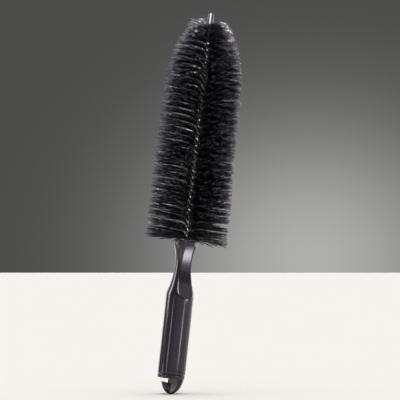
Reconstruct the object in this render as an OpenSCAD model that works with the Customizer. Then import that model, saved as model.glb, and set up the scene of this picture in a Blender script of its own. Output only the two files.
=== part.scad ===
// Wheel brush: a long twisted-wire bristle head on a moulded handle with a hanging hook that
// swivels. Sizes are in millimetres.
// The origin is the middle of the round grip. +Z runs along the brush towards its tip, -Y is the
// front, and the hook's slot opens to -X.

/* [Grip] */
// Diameter of the round grip
grip_d = 31; // [29:0.5:34]
// Length of the plain round barrel
barrel_len = 83.6; // [76:0.4:100]
// Wall of the hollow grip
grip_wall = 2.6; // [2.4:0.1:3]

/* [Neck] */
// Length from the barrel to the collar
neck_len = 56; // [54:0.5:60]
// Diameter of the neck where it is narrowest
waist_d = 18.4; // [17.6:0.2:20]
// Height of the narrowest place above the barrel
waist_height = 36.4; // [35:0.2:40]
// Radius of the long sweep from the grip up to the waist
lower_sweep_r = 90; // [80:1:100]
// Radius of the short sweep from the waist up to the collar
upper_sweep_r = 56; // [50:1:64]
// Radius of the thumb scoop along the neck
scoop_r = 66; // [60:1:70]
// Thickness of the neck between its two scoops
scooped_thickness = 12; // [11:0.2:13]
// Angle that the scoops are turned from the hook's flat faces
scoop_turn = 30; // [0:5:90]

/* [Collar] */
// Diameter of the collar under the bristles
collar_d = 25.4; // [24:0.2:28]
// Height of the collar
collar_h = 7; // [5:0.5:9]

/* [Wire] */
// Diameter of each of the two twisted wires
wire_d = 2.5; // [2:0.1:2.6]
// Length of wire in one full turn
wire_pitch = 14.5; // [12:0.1:15]

/* [Bristles] */
// Number of wire turns that hold bristles
turns = 17; // [12:1:20]
// Radius over the bristle tips at the lower end
head_base_r = 47.2; // [40:0.2:52]
// Radius where the straight side meets the dome
head_shoulder_r = 44.5; // [38:0.5:47]
// Radius of the blunt end of the dome
head_top_r = 24; // [18:1:28]
// Length of the dome
dome_len = 75; // [60:1:90]

/* [Tip] */
// Diameter of the tip cap
tip_d = 7.4; // [7.2:0.1:9]
// Length of the tip cap above the bristles
tip_proud = 10.4; // [8:0.2:14]

/* [Hook] */
// Thickness of the flange under the grip
flange_h = 4; // [3.6:0.1:4.6]
// Height of the hook below the flange
hook_h = 17.7; // [17.4:0.1:19]
// Front to back thickness of the hook
hook_thick = 13; // [11:0.5:15]
// Height of the slot at its mouth
slot_mouth = 4.5; // [4.4:0.1:5]

/* [Hidden] */
$fn = 96;
over = 1; // how far a cutter runs past the face that it cuts

grip_r = grip_d / 2;
bore_r = grip_r - grip_wall;
barrel_top = barrel_len / 2;

// Skirt: the short ring of the handle below the groove, at the barrel's lower end
groove_w = 0.8;
groove_depth = 0.35;
skirt_h = 3;
handle_bottom = -barrel_top - groove_w - skirt_h;
edge_chamfer = 0.4;

// Neck
neck_top = barrel_top + neck_len;
waist_r = waist_d / 2;
waist_z = barrel_top + waist_height;
blend = 1.4; // the flare eases into the barrel where the two radii are closer than this
scoop_z = waist_z - 4;
profile_step = 2; // spacing of the neck profile's points

// Wires
wire_r = wire_d / 2;
wire_offset = wire_r + 0.1; // from the brush's axis to each wire's
stem_r = wire_offset + wire_r;
stem_clear = 0.2; // between the stem and what it passes through
passage_r = stem_r + stem_clear;
pocket_bottom = barrel_top - 10;
stem_bottom = pocket_bottom - 5;

// Crimp ferrule in its pocket, and the washer that holds it there
ferrule_flats = 12;
ferrule_h = 18;
pocket_clear = 0.1;
washer_h = 1.2;
washer_teeth = 10;

// Collar
collar_r = collar_d / 2;
collar_top = neck_top + collar_h;
collar_round = 1.5;
spigot_r = 6; // the collar's spigot, down in the neck
spigot_h = 5;

// Bristle head
layer_gap = 0.3; // between one turn's bristles and the next
head_bottom = collar_top + layer_gap;
head_top = head_bottom + turns * wire_pitch;
dome_bottom = head_top - dome_len;

// Tip cap
tip_r = tip_d / 2;
tip_top = head_top + tip_proud;
tip_bottom = head_top - 6;
tip_wall = 2; // over the wires' end
tip_round = 1.1;

// Hook cap
seam = 0.7; // between the handle and the flange
fit_gap = 0.05; // radial running gap of the swivel
flange_top = handle_bottom - seam;
flange_bottom = flange_top - flange_h;
flange_r = grip_r - 0.3;
hook_bottom = flange_bottom - hook_h;
plug_r = bore_r - fit_gap;
plug_h = 15;
plug_wall = 2.2;
bead_rise = 0.45; // how far the snap bead stands out of the plug
bead_h = 1.5;
bead_below_top = 2; // from the plug's upper edge to the bead
bead_gap = 0.15; // above and below the bead in its groove
finger_slot = 2.2;
spine_r = flange_r - 0.6; // radius of the dome that rounds the hook's spine
nub_r = 11; // radius of the narrower dome that rounds its free end
dome_h = hook_h + 2.3; // depth of both, from their widest place inside the flange
nub_step = 0.4; // how much less deep the free end's dome is
crease_x = 0.2; // where the spine and the free end meet
free_end_x = 0.6; // how far the free end runs on into the spine, and where the recess starts
rim_side = 5; // between the recess in each flat face and the spine's outer side
rim_foot = 1.8; // under the recess
recess_depth = 2.5;
slot_end_x = -2.8; // the slot's inner end
slot_corner_r = 1; // at both corners of that end
slot_slope = 1.1; // how much the slot widens from mouth to inner end

function two_digits(i) = i < 10 ? str("0", i) : str(i);
function turn_name(i) = str("bristle_turn_", two_digits(i));

// ---------------------------------------------------------------------------------------- handle

// Radius of the bare neck sweep, which would flare past the barrel if it ran on
function sweep_r(z) =
    let (r = z < waist_z ? lower_sweep_r : upper_sweep_r)
    waist_r + r - sqrt(r * r - (z - waist_z) * (z - waist_z));

// The lesser of two radii, rounded off where they cross
function eased_min(a, b) =
    let (h = max(blend - abs(a - b), 0) / blend)
    min(a, b) - h * h * blend / 4;

function neck_r(z) = z < waist_z ? eased_min(grip_r, sweep_r(z)) : sweep_r(z);

// Outside of the handle, with the groove above its skirt
module handle_outline() {
    steps = ceil(neck_len / profile_step);
    polygon(concat(
        [
            [0, handle_bottom],
            [grip_r - edge_chamfer, handle_bottom],
            [grip_r, handle_bottom + edge_chamfer],
            [grip_r, -barrel_top - groove_w],
            [grip_r - groove_depth, -barrel_top - groove_w / 2],
            [grip_r, -barrel_top]
        ],
        [for (i = [0 : steps]) let (z = barrel_top + neck_len * i / steps) [neck_r(z), z]],
        [[0, neck_top]]
    ));
}

// One long round scoop, cut to leave half of the neck's thickness on its side of the axis
module scoop() {
    translate([0, -scooped_thickness / 2 - scoop_r, scoop_z])
        rotate([0, 90, 0])
        cylinder(r = scoop_r, h = 2 * grip_d, center = true, $fn = 180);
}

// Everything hollow in the handle: grip bore, groove for the snap bead, hexagonal pocket, passage
// for the wires and seat for the collar's spigot
module handle_hollow() {
    bead_top = flange_top + plug_h - bead_below_top;
    groove_r = plug_r + bead_rise + 2 * fit_gap;
    translate([0, 0, handle_bottom - over])
        cylinder(r = bore_r, h = pocket_bottom - handle_bottom + over);
    translate([0, 0, bead_top - bead_h - bead_gap])
        cylinder(r = groove_r, h = bead_h + 2 * bead_gap);
    translate([0, 0, handle_bottom - over])
        cylinder(r1 = bore_r + edge_chamfer + over, r2 = bore_r, h = edge_chamfer + over);
    translate([0, 0, pocket_bottom - over])
        hexagon(ferrule_flats + 2 * pocket_clear, ferrule_h + pocket_clear + over);
    translate([0, 0, pocket_bottom])
        cylinder(r = passage_r, h = neck_top - pocket_bottom + over);
    translate([0, 0, neck_top - spigot_h - pocket_clear])
        cylinder(r = spigot_r + fit_gap, h = spigot_h + pocket_clear + over);
}

module hexagon(across_flats, height) {
    cylinder(r = across_flats / 2 / cos(30), h = height, $fn = 6);
}

module handle_body() {
    color("#2b2a30") rotate([0, 0, scoop_turn]) difference() {
        rotate_extrude() handle_outline();
        scoop();
        rotate([0, 0, 180]) scoop();
        handle_hollow();
    }
}

// ------------------------------------------------------------------------- collar, wires and tip

module neck_collar() {
    color("#1d1d20") rotate_extrude() difference() {
        union() {
            translate([passage_r, neck_top - spigot_h])
                square([spigot_r - passage_r, spigot_h + over]);
            translate([passage_r, neck_top])
                square([collar_r - passage_r, collar_h]);
        }
        round_corner(collar_r, collar_top, collar_round);
    }
}

// Cutter that rounds the outer top corner of a profile at [r, z]
module round_corner(r, z, size) {
    difference() {
        translate([r - size, z - size]) square(size + over);
        translate([r - size, z - size]) circle(r = size, $fn = 48);
    }
}

// One wire, wound left-handed about the brush's axis
module wire_strand(start) {
    length = tip_top - tip_wall - stem_bottom - fit_gap;
    slices_a_turn = 10;
    color("#4a4a4e") translate([0, 0, stem_bottom]) rotate([0, 0, start])
        linear_extrude(
            height = length,
            twist = 360 * length / wire_pitch,
            slices = ceil(slices_a_turn * length / wire_pitch),
            segments = 6
        )
        translate([wire_offset, 0]) circle(r = wire_r, $fn = 6);
}

module crimp_ferrule() {
    color("#8d8d92") rotate([0, 0, scoop_turn]) difference() {
        translate([0, 0, pocket_bottom]) hexagon(ferrule_flats, ferrule_h);
        translate([0, 0, pocket_bottom - over])
            cylinder(r = stem_r + fit_gap, h = ferrule_h + 2 * over);
    }
}

// Thin disc with spring teeth round its edge, pressed up the bore against the ferrule
module lock_washer() {
    notch_w = 2;
    notch_depth = 3;
    color("#9a9aa0") translate([0, 0, pocket_bottom - washer_h]) difference() {
        cylinder(r = bore_r - fit_gap, h = washer_h);
        translate([0, 0, -over]) cylinder(r = passage_r, h = washer_h + 2 * over);
        for (i = [1 : washer_teeth])
            rotate([0, 0, 360 * i / washer_teeth])
            translate([bore_r - notch_depth, -notch_w / 2, -over])
            cube([notch_depth + over, notch_w, washer_h + 2 * over]);
    }
}

module tip_cap() {
    color("#151517") rotate_extrude() difference() {
        translate([0, tip_bottom]) square([tip_r, tip_top - tip_bottom]);
        translate([-over, tip_bottom - over])
            square([stem_r + fit_gap + over, tip_top - tip_wall - tip_bottom + over]);
        round_corner(tip_r, tip_top, tip_round);
    }
}

// -------------------------------------------------------------------------------------- bristles

// Radius over the bristle tips: a sine-shaped dome on a side that widens a little downwards
function head_r(z) =
    z > dome_bottom
        ? head_top_r + (head_shoulder_r - head_top_r) * sin(90 * (head_top - z) / dome_len)
        : head_shoulder_r
            + (head_base_r - head_shoulder_r) * (dome_bottom - z) / (dome_bottom - head_bottom);

// The bristles that one turn of the wires holds, as the ring that they fill
module bristle_turn(i) {
    low = head_bottom + (i - 1) * wire_pitch;
    height = wire_pitch - layer_gap;
    hole_r = low + wire_pitch > tip_bottom ? tip_r + stem_clear : passage_r;
    steps = 4;
    color("#0d0d10") rotate_extrude() polygon(concat(
        [[hole_r, low]],
        [for (k = [0 : steps]) let (z = low + height * k / steps) [head_r(z), z]],
        [[hole_r, low + height]]
    ));
}

// ------------------------------------------------------------------------------------------ hook

// Lower half of an ellipsoid of revolution with its widest circle at z = 0
module hanging_dome(radius, depth) {
    steps = 16;
    rotate_extrude() polygon(concat(
        [[0, 0]],
        [for (k = [0 : steps]) let (a = 90 * k / steps) [radius * cos(a), -depth * sin(a)]]
    ));
}

// One side of the hook: a dome of revolution, kept between two X planes and the flat faces
module hook_half(radius, depth, low_x, high_x) {
    intersection() {
        translate([0, 0, hook_bottom + dome_h]) hanging_dome(radius, depth);
        translate([low_x, -hook_thick / 2, hook_bottom - over])
            cube([high_x - low_x, hook_thick, hook_h + 2 * over]);
    }
}

// The hanging slot, open to -X, a little higher inside than at its mouth, with rounded corners
module slot_cutter() {
    steps = 4;
    mouth_bottom = flange_bottom - slot_mouth;
    inner_bottom = mouth_bottom - slot_slope;
    corner_x = slot_end_x - slot_corner_r;
    rotate([90, 0, 0]) linear_extrude(grip_d, center = true) polygon(concat(
        [[-grip_d, mouth_bottom], [-grip_d, flange_bottom]],
        [
            for (k = [0 : steps])
                let (a = 90 * k / steps)
                [corner_x, flange_bottom - slot_corner_r] + slot_corner_r * [sin(a), cos(a)]
        ],
        [
            for (k = [0 : steps])
                let (a = 90 * k / steps)
                [corner_x, inner_bottom + slot_corner_r] + slot_corner_r * [cos(a), -sin(a)]
        ],
        [[-nub_r, mouth_bottom]]
    ));
}

// The recess in one flat face: a quarter ellipse inside the spine's rim, up to the flange, and
// above the free end on to the slot's inner end
module recess_cutter() {
    steps = 16;
    free_end_top = flange_bottom - slot_mouth - slot_slope;
    dome_z = hook_bottom + dome_h;
    height = hook_thick / 2 + over;
    translate([0, -hook_thick / 2 + recess_depth, 0]) rotate([90, 0, 0])
        linear_extrude(height) intersection() {
            translate([0, dome_z]) polygon(concat(
                [[slot_end_x - over, -dome_h], [slot_end_x - over, 0]],
                [
                    for (k = [0 : steps])
                        let (a = 90 * k / steps)
                        [(spine_r - rim_side) * cos(a), -(dome_h - rim_foot) * sin(a)]
                ]
            ));
            polygon([
                [free_end_x, hook_bottom - over],
                [grip_d, hook_bottom - over],
                [grip_d, flange_bottom],
                [slot_end_x - over, flange_bottom],
                [slot_end_x - over, free_end_top],
                [free_end_x, free_end_top]
            ]);
        }
}

// Round flange under the handle, with both edges broken
module flange() {
    rotate_extrude() polygon([
        [0, flange_bottom],
        [flange_r - edge_chamfer, flange_bottom],
        [flange_r, flange_bottom + edge_chamfer],
        [flange_r, flange_top - edge_chamfer],
        [flange_r - edge_chamfer, flange_top],
        [0, flange_top]
    ]);
}

// Hollow plug with a snap bead, slit into four fingers, which turns in the grip's bore
module swivel_plug() {
    plug_top = flange_top + plug_h;
    bead_top = plug_top - bead_below_top;
    difference() {
        union() {
            translate([0, 0, flange_top - over]) cylinder(r = plug_r, h = plug_h + over);
            translate([0, 0, bead_top - bead_h]) cylinder(r = plug_r + bead_rise, h = bead_h);
        }
        translate([0, 0, flange_top]) cylinder(r = plug_r - plug_wall, h = plug_h + over);
        for (a = [45, 135])
            rotate([0, 0, a])
            translate([-grip_d / 2, -finger_slot / 2, flange_top + plug_h / 4])
            cube([grip_d, finger_slot, plug_h]);
    }
}

module hook_cap() {
    color("#232227") {
        flange();
        swivel_plug();
        difference() {
            union() {
                hook_half(spine_r, dome_h, crease_x, grip_r);
                hook_half(nub_r, dome_h - nub_step, -grip_r, free_end_x);
            }
            slot_cutter();
            recess_cutter();
            mirror([0, 1, 0]) recess_cutter();
        }
    }
}

handle_body();
neck_collar();
wire_strand(0);  // wire_strand_a
wire_strand(180);  // wire_strand_b
crimp_ferrule();
lock_washer();
tip_cap();
hook_cap();
for (i = [1 : turns]) {
    bristle_turn(i);
}
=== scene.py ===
"""Wheel brush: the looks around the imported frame. Metres, +Z along the brush, front towards -Y."""

import math

import bmesh
import bpy
import numpy as np
from mathutils import Matrix, Vector


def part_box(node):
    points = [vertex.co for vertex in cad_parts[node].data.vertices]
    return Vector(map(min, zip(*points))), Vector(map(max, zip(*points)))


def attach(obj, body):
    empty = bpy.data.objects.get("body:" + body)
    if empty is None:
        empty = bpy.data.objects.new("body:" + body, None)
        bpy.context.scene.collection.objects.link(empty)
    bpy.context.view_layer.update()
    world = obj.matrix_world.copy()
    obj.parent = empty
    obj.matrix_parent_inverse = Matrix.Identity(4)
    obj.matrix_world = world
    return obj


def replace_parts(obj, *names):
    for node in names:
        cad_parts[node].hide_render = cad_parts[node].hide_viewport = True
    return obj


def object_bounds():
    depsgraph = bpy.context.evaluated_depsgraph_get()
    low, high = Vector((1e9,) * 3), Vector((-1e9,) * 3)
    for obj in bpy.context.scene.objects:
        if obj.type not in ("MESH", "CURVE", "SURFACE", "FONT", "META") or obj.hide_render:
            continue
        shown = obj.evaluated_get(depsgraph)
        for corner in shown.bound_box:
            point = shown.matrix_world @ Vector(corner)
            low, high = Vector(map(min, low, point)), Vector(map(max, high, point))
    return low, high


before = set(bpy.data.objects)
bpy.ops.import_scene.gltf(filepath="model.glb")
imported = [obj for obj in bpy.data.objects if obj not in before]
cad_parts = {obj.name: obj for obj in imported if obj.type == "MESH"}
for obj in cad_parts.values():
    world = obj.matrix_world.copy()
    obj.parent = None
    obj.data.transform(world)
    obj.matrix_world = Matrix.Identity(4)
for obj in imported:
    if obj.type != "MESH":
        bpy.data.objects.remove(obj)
cad_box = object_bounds()
rng = np.random.default_rng(17)
MM = 0.001

# ------------------------------------------------------------------------------ sizes from the CAD

TURNS = sorted(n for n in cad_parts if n.startswith("bristle_turn_"))
turn_box = {n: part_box(n) for n in TURNS}
PITCH = turn_box[TURNS[1]][0].z - turn_box[TURNS[0]][0].z
HEAD_BOTTOM = turn_box[TURNS[0]][0].z
HEAD_TOP = turn_box[TURNS[-1]][1].z
STEM_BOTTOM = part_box("wire_strand_a")[0].z
STEM_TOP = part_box("wire_strand_a")[1].z
HEAD_LENGTH = HEAD_TOP - HEAD_BOTTOM
COLLAR_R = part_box("neck_collar")[1].x
WIRE_R = 1.25 * MM
WIRE_OFFSET = 1.35 * MM  # from the brush's axis to the middle of each wire
WIRE_HOLE_R = 2.8 * MM  # through the neck and the collar
INSIDE_R = 10 * MM  # a ring's vertices nearer the axis than this are in its bore


def head_outline():
    """Heights and outer radii of the bristle rings, from the lowest to the highest."""
    points = set()
    for name in TURNS:
        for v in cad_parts[name].data.vertices:
            r = math.hypot(v.co.x, v.co.y)
            if r > INSIDE_R:
                points.add((round(v.co.z, 5), round(r, 5)))
    widest = {}
    for z, r in points:
        widest[z] = max(r, widest.get(z, 0))
    heights = sorted(widest)
    return np.array(heights), np.array([widest[z] for z in heights])


OUTLINE_Z, OUTLINE_R = head_outline()


def head_radius(z):
    """Outer radius of the bristles at height z."""
    return np.interp(z, OUTLINE_Z, OUTLINE_R)


def wire_angle(z):
    """Angle of wire a about the axis at height z: the wires are wound left-handed."""
    return -2 * math.pi * (z - STEM_BOTTOM) / PITCH


# ------------------------------------------------------------------------------------- mesh helpers

def new_piece(name, verts, faces, material):
    """A smooth-shaded mesh of that material, linked to the scene."""
    mesh = bpy.data.meshes.new(name)
    mesh.from_pydata([tuple(v) for v in verts], [], [tuple(f) for f in faces])
    mesh.validate()
    mesh.materials.append(material)
    mesh.polygons.foreach_set("use_smooth", [True] * len(mesh.polygons))
    piece = bpy.data.objects.new(name, mesh)
    bpy.context.scene.collection.objects.link(piece)
    return piece


def filament_mesh(name, paths, radii, sides, material):
    """One mesh of closed tubes. paths is (count, rings, 3) and radii is (rings,)."""
    count, rings, _ = paths.shape
    along = np.gradient(paths, axis=1)
    along /= np.linalg.norm(along, axis=2, keepdims=True)
    up = np.array([0.0, 0.0, 1.0])
    side_a = np.cross(along, up)
    side_a /= np.linalg.norm(side_a, axis=2, keepdims=True)
    side_b = np.cross(along, side_a)
    turn = 2 * math.pi * np.arange(sides) / sides
    ring = (
        side_a[:, :, None, :] * np.cos(turn)[None, None, :, None]
        + side_b[:, :, None, :] * np.sin(turn)[None, None, :, None]
    )
    verts = paths[:, :, None, :] + ring * radii[None, :, None, None]
    verts = verts.reshape(-1, 3)
    ids = np.arange(count * rings * sides).reshape(count, rings, sides)
    a, b = ids[:, :-1, :], ids[:, 1:, :]
    a2, b2 = np.roll(a, -1, axis=2), np.roll(b, -1, axis=2)
    quads = np.stack([a, a2, b2, b], axis=-1).reshape(-1, 4)
    start = ids[:, 0, ::-1].reshape(count, sides)
    end = ids[:, -1, :].reshape(count, sides)
    mesh = bpy.data.meshes.new(name)
    n_quads, n_caps = len(quads), 2 * count
    mesh.vertices.add(len(verts))
    mesh.vertices.foreach_set("co", verts.astype(np.float32).ravel())
    loops = np.concatenate([quads.ravel(), start.ravel(), end.ravel()])
    mesh.loops.add(len(loops))
    mesh.loops.foreach_set("vertex_index", loops.astype(np.int32))
    starts = np.concatenate([
        np.arange(n_quads) * 4, n_quads * 4 + np.arange(n_caps) * sides
    ])
    mesh.polygons.add(n_quads + n_caps)
    mesh.polygons.foreach_set("loop_start", starts.astype(np.int32))
    mesh.polygons.foreach_set("use_smooth", [True] * (n_quads + n_caps))
    mesh.update(calc_edges=True)
    mesh.validate()
    mesh.materials.append(material)
    piece = bpy.data.objects.new(name, mesh)
    bpy.context.scene.collection.objects.link(piece)
    return piece


# ---------------------------------------------------------------------------------------- materials

def nodes_of(m):
    """The shader nodes and links of a material or of the world."""
    return m.node_tree.nodes, m.node_tree.links


def new_material(name, base, roughness, metallic=0.0, ior=1.5, gloss_tint=(0.95, 0.91, 1.0)):
    """A plain material, to which the others add their noise."""
    m = bpy.data.materials.new(name)
    m.use_nodes = True
    bsdf = m.node_tree.nodes["Principled BSDF"]
    bsdf.inputs["Base Color"].default_value = (*base, 1)
    bsdf.inputs["Roughness"].default_value = roughness
    bsdf.inputs["Metallic"].default_value = metallic
    bsdf.inputs["IOR"].default_value = ior
    if metallic == 0:
        bsdf.inputs["Specular Tint"].default_value = (*gloss_tint, 1)
    return m


def add_noise(m, scale, detail=3.0, stretch=(1, 1, 1)):
    """Noise over the piece's own coordinates. scale is in cells to the metre."""
    nodes, links = nodes_of(m)
    where = nodes.new("ShaderNodeTexCoord")
    mapping = nodes.new("ShaderNodeMapping")
    mapping.inputs["Scale"].default_value = stretch
    noise = nodes.new("ShaderNodeTexNoise")
    noise.inputs["Scale"].default_value = scale
    noise.inputs["Detail"].default_value = detail
    links.new(where.outputs["Object"], mapping.inputs["Vector"])
    links.new(mapping.outputs["Vector"], noise.inputs["Vector"])
    return noise.outputs["Fac"]


def spread(m, value, low, high, to_low, to_high, interpolation="LINEAR"):
    """Maps value from low..high to to_low..to_high, held at the ends."""
    nodes, links = nodes_of(m)
    ramp = nodes.new("ShaderNodeMapRange")
    ramp.interpolation_type = interpolation
    links.new(value, ramp.inputs["Value"])
    for key, number in zip(
        ("From Min", "From Max", "To Min", "To Max"), (low, high, to_low, to_high), strict=True
    ):
        ramp.inputs[key].default_value = number
    return ramp.outputs["Result"]


def mix_colours(m, factor, first, second):
    """The first colour where factor is 0, the second where it is 1."""
    nodes, links = nodes_of(m)
    mix = nodes.new("ShaderNodeMix")
    mix.data_type = "RGBA"
    links.new(factor, mix.inputs["Factor"])
    mix.inputs["A"].default_value = (*first, 1)
    mix.inputs["B"].default_value = (*second, 1)
    return mix.outputs["Result"]


def maths(m, operation, first, second=0.0):
    """One sum of two values, each a number or another node's output."""
    nodes, links = nodes_of(m)
    node = nodes.new("ShaderNodeMath")
    node.operation = operation
    for socket, value in zip(node.inputs, (first, second), strict=False):
        if isinstance(value, (int, float)):
            socket.default_value = value
        else:
            links.new(value, socket)
    return node.outputs["Value"]


def add_bump(m, height, distance):
    """Roughens the surface by the height, at that distance to a unit of it."""
    nodes, links = nodes_of(m)
    bump = nodes.new("ShaderNodeBump")
    bump.inputs["Strength"].default_value = 1
    bump.inputs["Distance"].default_value = distance
    links.new(height, bump.inputs["Height"])
    links.new(bump.outputs["Normal"], nodes["Principled BSDF"].inputs["Normal"])


def moulded_plastic(name, dark, light, roughness, grain, grain_depth):
    """Moulded black plastic: faint cloudy colour, handling marks in the gloss, and fine grain."""
    m = new_material(name, dark, roughness)
    nodes, links = nodes_of(m)
    bsdf = nodes["Principled BSDF"]
    clouds = spread(m, add_noise(m, scale=55, detail=4), 0.35, 0.7, 0, 1)
    links.new(mix_colours(m, clouds, dark, light), bsdf.inputs["Base Color"])
    smears = add_noise(m, scale=90, detail=5, stretch=(1, 1, 0.3))
    smears = spread(m, smears, 0.3, 0.75, roughness - 0.04, roughness + 0.07)
    specks = spread(m, add_noise(m, scale=1500, detail=2), 0.3, 0.7, -0.02, 0.02)
    links.new(maths(m, "ADD", smears, specks), bsdf.inputs["Roughness"])
    scratches = add_noise(m, scale=420, detail=3, stretch=(1, 1, 0.04))
    scratches = maths(m, "MULTIPLY", spread(m, scratches, 0.62, 0.72, 0, -1), 0.6)
    height = maths(m, "ADD", add_noise(m, scale=grain, detail=2), scratches)
    add_bump(m, height, grain_depth)
    return m


def bristle_material():
    """Extruded filament: near-black and glossier in some clumps. In a few clumps the colour turns
    paler towards the cut tip, which is a painted glint.
    """
    m = new_material("bristle", (0.006, 0.006, 0.008), 0.3, ior=1.48)
    nodes, links = nodes_of(m)
    bsdf = nodes["Principled BSDF"]
    shade = nodes.new("ShaderNodeAttribute")
    shade.attribute_name = "shade"
    along = nodes.new("ShaderNodeAttribute")
    along.attribute_name = "along"
    # painted glint: a few clumps get a paler base colour towards the tip, standing in for light
    # caught on the filaments
    few_glinting = maths(m, "POWER", shade.outputs["Fac"], 7.0)
    tipward = spread(m, along.outputs["Fac"], 0.25, 0.9, 0.12, 1)
    painted_glint = maths(m, "MULTIPLY", tipward, few_glinting)
    black, pale = (0.0034, 0.0031, 0.0046), (0.17, 0.165, 0.195)
    links.new(mix_colours(m, painted_glint, black, pale), bsdf.inputs["Base Color"])
    links.new(spread(m, shade.outputs["Fac"], 0.2, 0.9, 0.5, 0.12), bsdf.inputs["Roughness"])
    add_bump(m, add_noise(m, scale=2500, detail=2), 0.02 * MM)
    return m


def wire_material(name, dark, light, roughness):
    """Drawn steel: faint lengthwise streaks and duller patches."""
    m = new_material(name, light, roughness, metallic=1.0)
    nodes, links = nodes_of(m)
    bsdf = nodes["Principled BSDF"]
    patches = spread(m, add_noise(m, scale=160, detail=4), 0.35, 0.7, 0, 1)
    links.new(mix_colours(m, patches, dark, light), bsdf.inputs["Base Color"])
    gloss = add_noise(m, scale=700, detail=3)
    gloss = spread(m, gloss, 0.3, 0.7, roughness - 0.08, roughness + 0.1)
    links.new(gloss, bsdf.inputs["Roughness"])
    add_bump(m, add_noise(m, scale=1800, detail=2, stretch=(1, 1, 0.2)), 0.02 * MM)
    return m


WEB_HALF = (4.1 * MM, 4.4 * MM)  # the web ends between these distances from the hook's mid-plane
WEB_TOP = (-50.6 * MM, -50.2 * MM)  # and between these heights, at the flange
# painted reflection: a base colour far paler than the hook's black plastic, standing in for light on
# the web
WEB_PAINTED_LIGHT = (0.105, 0.105, 0.115, 1)
WEB_ROUGHNESS = (0.5, 0.5, 0.5, 0.5)


def dull_web_with_painted_light(m):
    """The flat web between the hook's two recesses is duller than the rest, and painted paler as a
    painted reflection that stands in for light on the web.
    """
    nodes, links = nodes_of(m)
    where = nodes.new("ShaderNodeTexCoord")
    place = nodes.new("ShaderNodeSeparateXYZ")
    links.new(where.outputs["Object"], place.inputs["Vector"])
    facing = nodes.new("ShaderNodeSeparateXYZ")
    links.new(where.outputs["Normal"], facing.inputs["Vector"])
    inner = spread(m, maths(m, "ABSOLUTE", place.outputs["Y"]), *WEB_HALF, 1, 0)
    below = spread(m, place.outputs["Z"], *WEB_TOP, 1, 0)
    flat = spread(m, maths(m, "ABSOLUTE", facing.outputs["Y"]), 0.5, 0.8, 0, 1)
    web = maths(m, "MULTIPLY", maths(m, "MULTIPLY", inner, below), flat)
    bsdf = nodes["Principled BSDF"]
    # the roughness mixed in is the web's duller finish; the colour mixed in is painted light
    for key, web_value in (("Base Color", WEB_PAINTED_LIGHT), ("Roughness", WEB_ROUGHNESS)):
        glossy = bsdf.inputs[key].links[0].from_socket
        mix = nodes.new("ShaderNodeMix")
        mix.data_type = "RGBA"
        links.new(web, mix.inputs["Factor"])
        links.new(glossy, mix.inputs["A"])
        mix.inputs["B"].default_value = web_value
        links.new(mix.outputs["Result"], bsdf.inputs[key])


bristle_plastic = bristle_material()
handle_plastic = moulded_plastic(
    "handle_plastic", dark=(0.0060, 0.0054, 0.0076), light=(0.0092, 0.0084, 0.0112),
    roughness=0.17, grain=2200, grain_depth=0.006 * MM
)
hook_plastic = moulded_plastic(
    "hook_plastic", dark=(0.0070, 0.0067, 0.0082), light=(0.0105, 0.0100, 0.0120),
    roughness=0.18, grain=2400, grain_depth=0.008 * MM
)
# the hook's web: duller, and paler through painted reflection
dull_web_with_painted_light(hook_plastic)
collar_plastic = moulded_plastic(
    "collar_plastic", dark=(0.010, 0.0095, 0.012), light=(0.015, 0.014, 0.017),
    roughness=0.28, grain=2400, grain_depth=0.012 * MM
)
tip_plastic = moulded_plastic(
    "tip_plastic", dark=(0.008, 0.008, 0.010), light=(0.013, 0.013, 0.015),
    roughness=0.13, grain=2800, grain_depth=0.006 * MM
)
wire_steel = wire_material("wire_steel", (0.26, 0.26, 0.265), (0.46, 0.46, 0.46), 0.17)
plated_steel = wire_material("plated_steel", (0.42, 0.42, 0.43), (0.62, 0.62, 0.62), 0.24)

# ----------------------------------------------------------------------------------------- bristles

FILAMENTS_A_TURN = 1150
FILAMENT_R = 0.26 * MM
FILAMENT_SIDES = 3
RINGS = 11  # of vertices along each filament
RINGS_CROWDED = 1.7  # power by which the rings crowd towards the root, where the bend is
CLUMP_LIMIT, THINNER_IN_DOME = 5, 3  # a clump has fewer filaments than this
SHEAF_SPREAD = 0.09  # radians, about the two opposite ways in which filaments leave the wires
ROOT_R = 0.6 * MM
LOWEST_ROOT = 0.5 * MM  # above the head's lower end
ROOT_SHARE = (HEAD_LENGTH - 8 * MM) / HEAD_LENGTH  # of the head's length, that holds the roots
RISE = 8.6 * MM  # how much higher a tip on the head's side lies than its root
RISE_REACH = 13 * MM  # most of the rise is over within this distance from the wires
HELD_RISE, HELD_TURNS = 0.55, 2.5  # the collar holds the lowest turns down to this share of it
SLACK_TURNS = 1.3  # the lowest turns, where some filaments sag instead of rising
SAG, MORE_SAG_RIGHT = 3.5 * MM, 4 * MM  # of the slackest tips
RIGHT = math.radians(-30)  # the angle at which they sag the most
TRIM, TRIM_IN_DOME = 0.9 * MM, 0.6 * MM  # mean of how much shorter a clump is cut
SKIRT_SHARE = 0.3  # of the lowest turn's clumps: loose ones all round, which hang over the collar
SKIRT_ROOTS = (0.5 * MM, 3 * MM)
SKIRT_SLACK = (0.6, 1)
WILD_SHARE = 0.3  # of the clumps: those with the larger of the two strays
WILD_STRAY, TAME_STRAY = 2.8 * MM, 1.4 * MM  # spread of the clumps' tips, up and down
DOME_LENGTH = 75 * MM  # of the head's rounded upper end
FAN_TURNS = 1.6  # the highest turns, which fan out over the wires' upper end
CROWN = 1.6 * MM  # how far the tips stand above the CAD head's top
CROWN_DEPTH = 8 * MM  # the length over which the head's end is rounded over
CROWN_R, CROWN_BULGE = 8 * MM, 18 * MM  # the reach at its top, and how much it grows downwards
TIP_LIMIT = HEAD_TOP + 1.5 * MM
PARTING_ANGLE = math.radians(-98)  # just left of the front
PARTING_WIDTH = 0.9  # radians
PARTING_CLOSES = 3  # turns below the head's top
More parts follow.
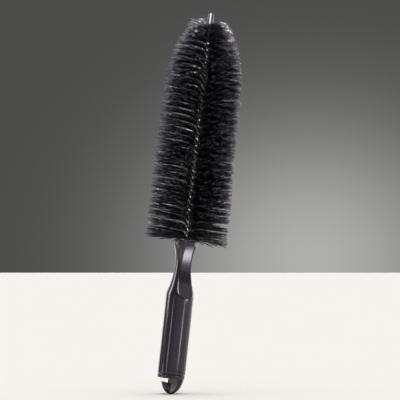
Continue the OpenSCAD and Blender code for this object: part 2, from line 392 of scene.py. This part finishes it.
STEP_RIGHT, STEP_LEFT = 4.8 * MM, 1.2 * MM  # how far filaments are combed out of the parting
STEP_REACH = 1.3 * MM  # most of the step is over within this distance from the roots
STAYING = 0.07  # share of the filaments that stay in the parting
# spread of single filaments within their clump
ROOT_Z_NOISE, ROOT_ANGLE_NOISE = 0.3 * MM, 0.015
TIP_Z_NOISE, WANDER_NOISE, LENGTH_NOISE = 0.2 * MM, 0.25 * MM, 0.45 * MM
BOW_UP_NOISE, BOW_ASIDE_NOISE = 0.3 * MM, 0.35 * MM
SHADE_NOISE, GIVE_NOISE = 0.08, 0.15


def crown_radius(z):
    """How far a tip may reach from the axis at height z, where the head's end is rounded over."""
    drop = (HEAD_TOP + CROWN - z) / CROWN_DEPTH
    return 1 if drop >= 1 else CROWN_R + CROWN_BULGE * math.sqrt(max(drop, 0))


def eased(r, reach):
    """From 0 at the axis to 1 far out, most of it within reach."""
    return 1 - np.exp(-r / reach)


def sidestep(angle, z):
    """How far sideways a filament goes round the wires: the bristles part along the front."""
    from_parting = (angle - PARTING_ANGLE + math.pi) % (2 * math.pi) - math.pi
    near = np.exp(-(from_parting / PARTING_WIDTH) ** 2)
    closing = np.clip((HEAD_TOP - z) / (PARTING_CLOSES * PITCH), 0.3, 1)
    return np.where(from_parting > 0, STEP_RIGHT, -STEP_LEFT) * near * closing


def clump(index):
    """Filaments of one turn that share a tip: a row of numbers for each, for filament_paths."""
    place = HEAD_BOTTOM + index * PITCH + PITCH * rng.random()
    z = HEAD_BOTTOM + LOWEST_ROOT + (place - HEAD_BOTTOM) * ROOT_SHARE
    angle = wire_angle(z) + math.pi / 2 + rng.integers(0, 2) * math.pi
    angle += rng.normal(0, SHEAF_SPREAD)
    slack = rng.random() ** 0.9 * max(0, 1 - (z - HEAD_BOTTOM) / PITCH / SLACK_TURNS)
    if index == 0 and rng.random() < SKIRT_SHARE:
        z = HEAD_BOTTOM + rng.uniform(*SKIRT_ROOTS)
        angle = rng.uniform(0, 2 * math.pi)
        slack = rng.uniform(*SKIRT_SLACK)
    turns_below = (z - HEAD_BOTTOM) / PITCH
    turns_above = (HEAD_TOP - place) / PITCH
    rise = RISE * (HELD_RISE + (1 - HELD_RISE) * min(turns_below / HELD_TURNS, 1))
    rise *= head_radius(z) / head_radius(HEAD_BOTTOM) * (1 - slack)
    rightward = 0.5 + 0.5 * math.cos(angle - RIGHT)
    droop = -(SAG + MORE_SAG_RIGHT * rightward) * slack ** 1.6
    in_dome = min(max((place - HEAD_TOP) / DOME_LENGTH + 1, 0), 1)
    stray = WILD_STRAY if rng.random() < WILD_SHARE else TAME_STRAY
    stray = rng.normal(0, stray) * (1 - 0.1 * in_dome)
    fan = rng.random() ** 1.5 * max(0, 1 - turns_above / FAN_TURNS)
    short = rng.exponential(TRIM + TRIM_IN_DOME * in_dome)
    clump_shade = rng.random()
    limit = CLUMP_LIMIT - round(THINNER_IN_DOME * in_dome)
    rows = []
    for _ in range(int(rng.integers(1, limit))):
        root_z = z + rng.normal(0, ROOT_Z_NOISE)
        root_angle = angle + rng.normal(0, ROOT_ANGLE_NOISE)
        tip_z = z + rise + rng.normal(0, TIP_Z_NOISE)
        tip_z = min(tip_z + (TIP_LIMIT - tip_z) * fan, TIP_LIMIT)
        reach = head_radius(min(tip_z, HEAD_TOP)) - short - rng.exponential(LENGTH_NOISE)
        reach = min(reach * (1 - 0.5 * fan * rng.random()), crown_radius(tip_z))
        wander = stray + rng.normal(0, WANDER_NOISE)
        shade = min(max(clump_shade + rng.normal(0, SHADE_NOISE), 0), 1)
        rows.append((root_angle, root_z, tip_z, reach, wander, droop, shade))
    return rows


def filament_paths(angle, root_z, tip_z, reach, wander, droop, s):
    """The middle line of every filament. s runs from 0 at the root to 1 at the tip."""
    count = len(angle)
    r = ROOT_R + (reach - ROOT_R) * s
    bow = (s - s * s) * 2
    z = root_z + (tip_z - root_z) * eased(r, RISE_REACH) / eased(reach, RISE_REACH)
    over_collar = root_z < HEAD_BOTTOM + 0.4 * PITCH
    wander = np.where(over_collar, np.abs(wander), wander)
    z = z + wander * s ** 0.9 + rng.normal(0, BOW_UP_NOISE, (count, 1)) * bow
    past_collar = np.maximum(r - COLLAR_R, 0) / (reach - COLLAR_R)
    z = np.minimum(z + droop * past_collar ** 1.3, HEAD_TOP + CROWN)
    give = rng.normal(1, GIVE_NOISE, (count, 1))
    give = np.where(rng.random((count, 1)) < STAYING, rng.random((count, 1)), give)
    aside = sidestep(angle, root_z) * eased(r - ROOT_R, STEP_REACH) * give
    aside = aside + rng.normal(0, BOW_ASIDE_NOISE, (count, 1)) * bow
    nearest = 0.2 * MM
    out = np.sqrt(np.maximum(r * r - aside * aside, nearest ** 2))
    x = out * np.cos(angle) - aside * np.sin(angle)
    y = out * np.sin(angle) + aside * np.cos(angle)
    return np.stack([x, y, z], axis=-1)


def bristle_turn(index, name):
    """The filaments that one turn of the wires holds, with a shade for each for the material."""
    rows = []
    while len(rows) < FILAMENTS_A_TURN:
        rows += clump(index)
    rows = np.array(rows[:FILAMENTS_A_TURN])
    *shape, shade = (rows[:, i:i + 1] for i in range(rows.shape[1]))
    s = np.linspace(0, 1, RINGS)[None, :] ** RINGS_CROWDED
    radii = np.interp(s[0], [0, 0.8, 1], [1, 0.95, 0.6]) * FILAMENT_R
    paths = filament_paths(*shape, s)
    piece = filament_mesh(name, paths, radii, FILAMENT_SIDES, bristle_plastic)
    along = np.repeat(np.repeat(s, FILAMENT_SIDES, axis=1), len(rows), axis=0)
    for key, values in (
        ("shade", np.repeat(shade, RINGS * FILAMENT_SIDES, axis=1)), ("along", along)
    ):
        layer = piece.data.attributes.new(key, "FLOAT", "POINT")
        layer.data.foreach_set("value", values.astype(np.float32).ravel())
    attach(piece, "brush")
    return piece


for index, node in enumerate(TURNS):
    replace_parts(bristle_turn(index, node.replace("bristle_turn", "bristles")), node)

# -------------------------------------------------------------------------------------------- wires

WIRE_SIDES = 14
WIRE_STEPS_A_TURN = 24
WIRE_END_GAP = 0.1 * MM  # the round wires stop this much short of the CAD ones


def wire_piece(name, node, start):
    """One of the two twisted wires, which starts at that angle."""
    rings = int(WIRE_STEPS_A_TURN * (STEM_TOP - STEM_BOTTOM) / PITCH)
    z = np.linspace(STEM_BOTTOM + WIRE_END_GAP, STEM_TOP - WIRE_END_GAP, rings)
    a = wire_angle(z) + start
    path = np.stack([WIRE_OFFSET * np.cos(a), WIRE_OFFSET * np.sin(a), z], axis=-1)
    piece = filament_mesh(name, path[None], np.full(rings, WIRE_R), WIRE_SIDES, wire_steel)
    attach(piece, "brush")
    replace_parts(piece, node)


wire_piece("wire_a", "wire_strand_a", 0)
wire_piece("wire_b", "wire_strand_b", math.pi)

# ------------------------------------------------------------------------------------------- handle

HANDLE_LOW, HANDLE_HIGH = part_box("handle_body")
GRIP_R = HANDLE_HIGH.x
NECK_TOP = HANDLE_HIGH.z
HANDLE_BOTTOM = HANDLE_LOW.z
GROOVE_TOP = -41.8 * MM
GROOVE_LOW = -42.6 * MM
GROOVE_DEPTH = 0.35 * MM
FLARE_LOW = 20 * MM  # the rings of the mesh lie closer above this height, where the neck begins
WAIST_Z = 78.2 * MM
WAIST_R = 9.2 * MM
SCOOP_Z = 74.2 * MM
SCOOP_R = 66 * MM
SCOOP_HALF = 6 * MM
SCOOP_TURN = math.radians(30)
LOWER_SWEEP, UPPER_SWEEP = 90 * MM, 56 * MM
SWEEP_EASE, SCOOP_EASE = 1.4 * MM, 1.3 * MM  # how softly the sweep and the scoops meet the grip
SCOOP_FACING = 0.05  # a scoop leaves what faces its way by less than this cosine
UNCUT = 1.0  # metres, far outside the handle
SMALL_ROUND = 0.6 * MM  # on the grip's lower edge
SPIGOT_SEAT_R, SPIGOT_SEAT_DEPTH = 6.05 * MM, 5.1 * MM
FERRULE_POCKET_TOP, FERRULE_POCKET_LOW = 49.9 * MM, 31.8 * MM
FERRULE_POCKET_HALF = 6.1 * MM  # from the axis to each of the hexagon's flats
BORE_R = 12.9 * MM
BEAD_GROOVE_R = 13.4 * MM
BEAD_GROOVE_LOW, BEAD_GROOVE_TOP = 3.65 * MM, 1.85 * MM  # below the top of the hook's snap plug
BORE_CHAMFER = 0.4 * MM


def eased_min(a, b, ease):
    """The smaller of the two, rounded over where they are closer than ease."""
    h = np.maximum(ease - np.abs(a - b), 0) / ease
    return np.minimum(a, b) - h * h * ease / 4


def neck_radius(z):
    """Radius of the handle before the scoops are cut, as in the CAD."""
    sweep = LOWER_SWEEP if z < WAIST_Z else UPPER_SWEEP
    off = min(abs(z - WAIST_Z), 0.98 * sweep)
    bare = WAIST_R + sweep - math.sqrt(sweep * sweep - off * off)
    return float(eased_min(GRIP_R, bare, SWEEP_EASE)) if z < WAIST_Z else bare


def handle_ring(z, turn):
    """Outer radius at each angle of turn, with both scoops and their softened edges."""
    r = np.full(len(turn), neck_radius(z))
    if GROOVE_LOW < z < GROOVE_TOP:
        middle_z = (GROOVE_LOW + GROOVE_TOP) / 2
        depth = 1 - abs(z - middle_z) / ((GROOVE_TOP - GROOVE_LOW) / 2)
        r = r - GROOVE_DEPTH * depth
    if z < HANDLE_BOTTOM + SMALL_ROUND:
        drop = HANDLE_BOTTOM + SMALL_ROUND - z
        r = r - SMALL_ROUND + math.sqrt(max(SMALL_ROUND ** 2 - drop ** 2, 0))
    off = abs(z - SCOOP_Z)
    if off < SCOOP_R:
        flat = SCOOP_HALF + SCOOP_R - math.sqrt(SCOOP_R ** 2 - off ** 2)
        for way in (SCOOP_TURN, SCOOP_TURN + math.pi):
            facing = np.cos(turn - (way - math.pi / 2))
            cut = flat / np.maximum(facing, SCOOP_FACING)
            cut = np.where(facing > SCOOP_FACING, cut, UNCUT)
            r = eased_min(r, cut, SCOOP_EASE)
    return r


def loft(name, rings, material):
    """A closed surface through rings of equal size, the last joined to the first."""
    rings = np.array(rings)
    levels, around, _ = rings.shape
    below = np.arange(levels * around).reshape(levels, around)
    above = np.roll(below, -1, axis=0)
    faces = np.stack(
        [below, np.roll(below, -1, axis=1), np.roll(above, -1, axis=1), above], axis=-1
    ).reshape(-1, 4)
    return new_piece(name, rings.reshape(-1, 3), faces, material)


def ring_at(radius, z, turn):
    """Points at that radius, one number or one for each angle of turn, at height z."""
    r = radius * np.ones(len(turn))
    return np.stack([r * np.cos(turn), r * np.sin(turn), np.full(len(turn), z)], axis=-1)


def handle_inside(turn):
    """Heights and radii down the inside: spigot seat, wires' passage, hexagonal pocket and bore."""
    plug_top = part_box("hook_cap")[1].z
    bead_low, bead_top = plug_top - BEAD_GROOVE_LOW, plug_top - BEAD_GROOVE_TOP
    sixth = math.pi / 3
    hexagon = FERRULE_POCKET_HALF / np.cos((turn - SCOOP_TURN + sixth / 2) % sixth - sixth / 2)
    seat_low = NECK_TOP - SPIGOT_SEAT_DEPTH
    return (
        (NECK_TOP, SPIGOT_SEAT_R),
        (seat_low, SPIGOT_SEAT_R),
        (seat_low, WIRE_HOLE_R),
        (FERRULE_POCKET_TOP, WIRE_HOLE_R),
        (FERRULE_POCKET_TOP, hexagon),
        (FERRULE_POCKET_LOW, hexagon),
        (FERRULE_POCKET_LOW, BORE_R),
        (bead_top, BORE_R),
        (bead_top, BEAD_GROOVE_R),
        (bead_low, BEAD_GROOVE_R),
        (bead_low, BORE_R),
        (HANDLE_BOTTOM + SMALL_ROUND, BORE_R),
        (HANDLE_BOTTOM, BORE_R + BORE_CHAMFER),
    )


def make_handle():
    """The grip and neck in one, up the outside and then down the inside."""
    turn = np.linspace(0, 2 * math.pi, 192, endpoint=False)
    levels = [HANDLE_BOTTOM + SMALL_ROUND * (1 - math.cos(a)) for a in np.linspace(0, 1.57, 5)]
    for low, high, count in (
        (HANDLE_BOTTOM + 0.8 * MM, GROOVE_LOW - 0.15 * MM, 6),
        (GROOVE_LOW, GROOVE_TOP, 7),
        (GROOVE_TOP + 0.15 * MM, FLARE_LOW, 16),
        (FLARE_LOW + 0.6 * MM, NECK_TOP, 128),
    ):
        levels += list(np.linspace(low, high, count))
    rings = [ring_at(handle_ring(z, turn), z, turn) for z in levels]
    rings += [ring_at(radius, z, turn) for z, radius in handle_inside(turn)]
    piece = loft("handle", rings, handle_plastic)
    piece.data.set_sharp_from_angle(angle=math.radians(35))
    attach(piece, "brush")
    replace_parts(piece, "handle_body")


make_handle()

# ----------------------------------------------------------------------------------- collar and cap

def lathe(name, profile, around, material):
    """A closed body of revolution. profile is a closed loop of (radius, height)."""
    turn = np.linspace(0, 2 * math.pi, around, endpoint=False)
    piece = loft(name, [ring_at(r, z, turn) for r, z in profile], material)
    piece.data.set_sharp_from_angle(angle=math.radians(40))
    return piece


def corner(r, z, size, start, steps=6):
    """Quarter circle of a profile about (r, z), from the angle start, turning upwards and in."""
    return [
        (r + size * math.cos(a), z + size * math.sin(a))
        for a in np.linspace(start, start + math.pi / 2, steps)
    ]


def make_collar():
    """The dark band over the neck, with its spigot down in the handle."""
    low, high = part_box("neck_collar")
    outer, top, seat = high.x, high.z, NECK_TOP
    spigot = 6.0 * MM
    edge, shoulder = 0.35 * MM, 1.5 * MM
    profile = [(WIRE_HOLE_R, low.z), (spigot, low.z), (spigot, seat), (outer - edge, seat)]
    profile += corner(outer - edge, seat + edge, edge, -math.pi / 2)
    profile += corner(outer - shoulder, top - shoulder, shoulder, 0, 8)
    profile += [(WIRE_HOLE_R, top)]
    piece = lathe("collar", profile, 96, collar_plastic)
    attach(piece, "brush")
    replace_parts(piece, "neck_collar")


def make_tip():
    """The cap over the wires' end, open below and closed above."""
    low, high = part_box("tip_cap")
    outer, top = high.x, high.z
    hollow, pinhole = 2.65 * MM, 0.05 * MM
    edge, crown = 0.3 * MM, 1.1 * MM
    ceiling = top - 2 * MM
    profile = [(hollow, low.z), (outer - edge, low.z)]
    profile += corner(outer - edge, low.z + edge, edge, -math.pi / 2, 4)
    profile += corner(outer - crown, top - crown, crown, 0, 8)
    profile += [(pinhole, top), (pinhole, ceiling), (hollow, ceiling)]
    piece = lathe("tip", profile, 64, tip_plastic)
    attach(piece, "brush")
    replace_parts(piece, "tip_cap")


make_collar()
make_tip()

# --------------------------------------------------------------------------------------------- hook

HOOK_ROUND = 0.35 * MM  # on the edges that the CAD leaves sharp


def softened_copy(node, name, width, material):
    """The node's mesh with its flat faces whole again and its edges rounded to width."""
    same_place, same_plane, sharp = 0.002 * MM, math.radians(0.5), math.radians(32)
    shape = bmesh.new()
    shape.from_mesh(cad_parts[node].data)
    bmesh.ops.remove_doubles(shape, verts=shape.verts, dist=same_place)
    bmesh.ops.dissolve_limit(
        shape, angle_limit=same_plane, verts=shape.verts, edges=shape.edges
    )
    mesh = bpy.data.meshes.new(name)
    shape.to_mesh(mesh)
    shape.free()
    mesh.materials.clear()
    mesh.materials.append(material)
    mesh.polygons.foreach_set("use_smooth", [True] * len(mesh.polygons))
    piece = bpy.data.objects.new(name, mesh)
    bpy.context.scene.collection.objects.link(piece)
    bevel = piece.modifiers.new("bevel", "BEVEL")
    bevel.width = width
    bevel.segments = 3
    bevel.limit_method = "ANGLE"
    bevel.angle_limit = sharp
    bevel.use_clamp_overlap = True
    bevel.harden_normals = False
    return piece


hook = softened_copy("hook_cap", "hook", HOOK_ROUND, hook_plastic)
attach(hook, "hook")
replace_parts(hook, "hook_cap")

# ------------------------------------------------------------------------------ CAD nodes that stay

for node in ("crimp_ferrule", "lock_washer"):
    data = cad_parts[node].data
    data.materials.clear()
    data.materials.append(plated_steel)

# ------------------------------------------------------------------------------------------- camera

LEAN = math.radians(6.3)  # how far the brush leans to the right of upright
FOCAL, SENSOR = 180, 36  # millimetres
BELOW = math.radians(1.9)  # the camera looks a little up at the brush
FRAME_HEIGHT = 0.4485  # metres of the scene across the picture at the brush
AIM_RIGHT, AIM_UP = 11.0 * MM, 3.1 * MM  # the camera's target, from the middle of the brush
middle = (cad_box[0] + cad_box[1]) / 2


def view_axes():
    """The camera's directions to the right, up and ahead."""
    back = Vector((0, -math.cos(BELOW), -math.sin(BELOW)))
    turned = (-back).to_track_quat("-Z", "Y").to_matrix() @ Matrix.Rotation(LEAN, 3, "Z")
    return turned.col[0].copy(), turned.col[1].copy(), -back


VIEW_RIGHT, VIEW_UP, VIEW_AHEAD = view_axes()


def make_camera():
    """A long lens far in front of the brush."""
    data = bpy.data.cameras.new("camera")
    data.lens = FOCAL
    data.sensor_width = SENSOR
    data.clip_end = 200
    cam = bpy.data.objects.new("camera", data)
    bpy.context.scene.collection.objects.link(cam)
    distance = FRAME_HEIGHT * FOCAL / SENSOR
    target = middle + VIEW_RIGHT * AIM_RIGHT + VIEW_UP * AIM_UP
    turned = Matrix((VIEW_RIGHT, VIEW_UP, -VIEW_AHEAD)).transposed()
    cam.matrix_world = Matrix.Translation(target - VIEW_AHEAD * distance) @ turned.to_4x4()
    bpy.context.scene.camera = cam


make_camera()

# -------------------------------------------------------------------------------------------- floor

FLOOR_HALF = 40
FLOOR_LIGHT, FLOOR_DARK = (0.761, 0.737, 0.717), (0.752, 0.728, 0.708)
floor_normal = Vector((-math.sin(LEAN), 0, math.cos(LEAN)))
hook_low = min(floor_normal.dot(v.co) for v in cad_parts["hook_cap"].data.vertices)


def floor_material():
    """Pale matt paper, with large and very faint patches."""
    m = new_material("floor", FLOOR_LIGHT, 0.6)
    nodes, links = nodes_of(m)
    bsdf = nodes["Principled BSDF"]
    bsdf.inputs["Specular IOR Level"].default_value = 0.0
    patches = add_noise(m, scale=3, detail=2)
    links.new(mix_colours(m, patches, FLOOR_LIGHT, FLOOR_DARK), bsdf.inputs["Base Color"])
    return m


def make_floor():
    """A wide pale floor under the hook, level as the camera sees it."""
    corners = [(FLOOR_HALF * x, FLOOR_HALF * y, 0) for x, y in ((-1, -1), (1, -1), (1, 1), (-1, 1))]
    floor = new_piece("floor", corners, [(0, 1, 2, 3)], floor_material())
    floor.rotation_mode = "QUATERNION"
    floor.rotation_quaternion = Vector((0, 0, 1)).rotation_difference(floor_normal)
    floor.location = floor_normal * hook_low
    return floor


floor = make_floor()

# ------------------------------------------------------------------------------------------- lights

def light_group(name, pieces, state):
    """The pieces that a lamp leaves out, with "EXCLUDE", or the only ones it lights: "INCLUDE"."""
    group = bpy.data.collections.new(name)
    for piece in pieces:
        group.objects.link(piece)
    for entry in group.collection_objects:
        entry.light_linking.link_state = state
    return group


smooth_pieces = [bpy.data.objects[name] for name in ("handle", "hook", "collar", "tip")]
wires = [bpy.data.objects[name] for name in ("wire_a", "wire_b")]
all_but_floor = light_group("all_but_floor", [floor], "EXCLUDE")
bristles_only = light_group("bristles_only", [floor, *smooth_pieces, *wires], "EXCLUDE")
smooth_only = light_group("smooth_only", smooth_pieces, "INCLUDE")
wires_only = light_group("wires_only", wires, "INCLUDE")
tip_only = light_group("tip_only", [bpy.data.objects["tip"]], "INCLUDE")
floor_only = light_group("floor_only", [floor], "INCLUDE")
floor_shadow = light_group("floor_shadow", smooth_pieces, "INCLUDE")


def area_light(name, place, target, size, power, group):
    """A rectangular lamp at place, turned to the target, for the pieces of the group."""
    data = bpy.data.lights.new(name, "AREA")
    data.shape = "RECTANGLE"
    data.size, data.size_y = size
    data.energy = power
    lamp = bpy.data.objects.new(name, data)
    lamp.location = place
    lamp.rotation_mode = "QUATERNION"
    lamp.rotation_quaternion = (Vector(place) - Vector(target)).to_track_quat("Z", "Y")
    lamp.visible_camera = False
    lamp.light_linking.receiver_collection = group
    bpy.context.scene.collection.objects.link(lamp)
    return lamp


def soft_box(name, degrees_right, elevation, distance, size, radiance, aim, group):
    """An area light seen from aim at that bearing and elevation, as bright as radiance."""
    a, e = math.radians(degrees_right), math.radians(elevation)
    aim = Vector(aim)
    way = Vector((math.sin(a) * math.cos(e), -math.cos(a) * math.cos(e), math.sin(e)))
    power = math.pi * size[0] * size[1] * radiance
    return area_light(name, aim + way * distance, aim, size, power, group)


GRIP_MIDDLE = (0, 0, 0)
NECK_LOW = (0, 0, 52 * MM)
HEAD_MIDDLE = (0, 0, 220 * MM)
DOME = (0, 0, HEAD_TOP - 10 * MM)
TIP = (0, 0, 355 * MM)

# name, degrees to the right, elevation, distance, (width, height), radiance
GRIP_STREAKS = (
    ("left_low", -46, -3, 0.32, (0.030, 0.085), 6),
    ("right_low", 47, -4, 0.29, (0.034, 0.095), 8),
    ("left_floor", -80, -16, 0.30, (0.03, 0.05), 14),
)
NECK_PATCHES = (
    ("scoop_low", 60, 0, 0.10, (0.030, 0.021), 15),
    ("scoop_high", 60, 46, 0.50, (0.35, 0.36), 0.7),
    ("key_high", 2, 38, 1.0, (0.50, 0.36), 15),
)
SIDES_AND_RIMS = (
    ("left_side", -100, 8, 1.1, (0.30, 0.6), 9),
    ("right_back", 122, 12, 1.1, (0.30, 0.6), 9),
    ("left_rim", -150, 2, 1.1, (0.35, 0.6), 2.2),
    ("right_rim", 152, 2, 1.1, (0.35, 0.6), 1.2),
)
# degrees to the right, elevation, radiance of the lamps in a ring round the head
HEAD_RING = (
    (-38, 32, 45), (-75, 34, 60), (-115, 30, 85), (-155, 30, 60),
    (70, 32, 45), (112, 30, 75), (150, 30, 42),
)
for row in GRIP_STREAKS:
    soft_box(*row, GRIP_MIDDLE, smooth_only)
for row in NECK_PATCHES:
    soft_box(*row, NECK_LOW, smooth_only).light_linking.blocker_collection = smooth_only
soft_box("cap", -8, 2, 1.2, (0.8, 0.5), 38, TIP, tip_only)
wire_glint = soft_box("wire_glint", -6, -2, 1.2, (0.09, 0.09), 260, HEAD_MIDDLE, wires_only)
wire_glint.light_linking.blocker_collection = wires_only
for row in SIDES_AND_RIMS:
    soft_box(*row, middle, all_but_floor)
for bearing, elevation, radiance in HEAD_RING:
    row = (f"head_{bearing}", bearing, elevation, 1.1, (0.16, 0.16), radiance)
    soft_box(*row, HEAD_MIDDLE, bristles_only)
soft_box("head_top", 180, 72, 0.9, (0.4, 0.4), 85, HEAD_MIDDLE, bristles_only)
soft_box("dome", 170, 62, 0.13, (0.04, 0.04), 340, DOME, bristles_only)

OVERHEAD_STRENGTH = 3.22
OVERHEAD_WIDTH = math.radians(70)


def overhead_light(name, receivers, blockers=None):
    """A very soft light from straight above the floor."""
    data = bpy.data.lights.new(name, "SUN")
    data.energy = OVERHEAD_STRENGTH
    data.angle = OVERHEAD_WIDTH
    sun = bpy.data.objects.new(name, data)
    sun.rotation_mode = "QUATERNION"
    sun.rotation_quaternion = Vector((0, 0, 1)).rotation_difference(floor_normal)
    sun.light_linking.receiver_collection = receivers
    sun.light_linking.blocker_collection = blockers
    bpy.context.scene.collection.objects.link(sun)


overhead_light("overhead", all_but_floor)
# the floor's own light passes the bristles, which leaves a small shadow under the hook only
overhead_light("overhead_floor", floor_only, floor_shadow)

# --------------------------------------------------------------------------------------------- wall

POOL_RIGHT, POOL_DOWN = 0.055, 0.030  # the wall's pool of light, from the view's middle
POOL_WIDTH, POOL_HEIGHT = 0.0525, 0.045
POOL_BRIGHT = 0.353
WALL_BEHIND, WALL_AROUND = 0.070, 0.20
WALL_RED, WALL_BLUE = 1.005, 0.985  # against green


def make_world():
    """A grey studio wall with a soft pool of light low behind the brush, right of the middle."""
    world = bpy.data.worlds.new("world")
    bpy.context.scene.world = world
    world.use_nodes = True
    nodes, links = nodes_of(world)
    where = nodes.new("ShaderNodeTexCoord")
    pool = (VIEW_AHEAD + VIEW_RIGHT * POOL_RIGHT - VIEW_UP * POOL_DOWN).normalized()

    def along(axis):
        dot = nodes.new("ShaderNodeVectorMath")
        dot.operation = "DOT_PRODUCT"
        links.new(where.outputs["Generated"], dot.inputs[0])
        dot.inputs[1].default_value = axis
        return dot.outputs["Value"]

    def squared_offset(axis, width):
        off = maths(world, "SUBTRACT", along(axis), pool.dot(axis))
        off = maths(world, "DIVIDE", off, width)
        return maths(world, "MULTIPLY", off, off)

    squares = (squared_offset(VIEW_RIGHT, POOL_WIDTH), squared_offset(VIEW_UP, POOL_HEIGHT))
    power = maths(world, "MULTIPLY", maths(world, "ADD", *squares), -0.5)
    glow = maths(world, "MULTIPLY", maths(world, "POWER", math.e, power), POOL_BRIGHT)
    ahead = along(pool)
    glow = maths(world, "MULTIPLY", glow, maths(world, "GREATER_THAN", ahead, 0.0))
    wall = spread(world, ahead, 0.6, 0.96, WALL_AROUND, WALL_BEHIND, "SMOOTHSTEP")
    grey = maths(world, "ADD", glow, wall)
    shade = nodes.new("ShaderNodeCombineColor")
    links.new(maths(world, "MULTIPLY", grey, WALL_RED), shade.inputs["Red"])
    links.new(grey, shade.inputs["Green"])
    links.new(maths(world, "MULTIPLY", grey, WALL_BLUE), shade.inputs["Blue"])
    links.new(shade.outputs["Color"], nodes["Background"].inputs["Color"])


make_world()

bpy.context.scene.view_settings.view_transform = "Standard"
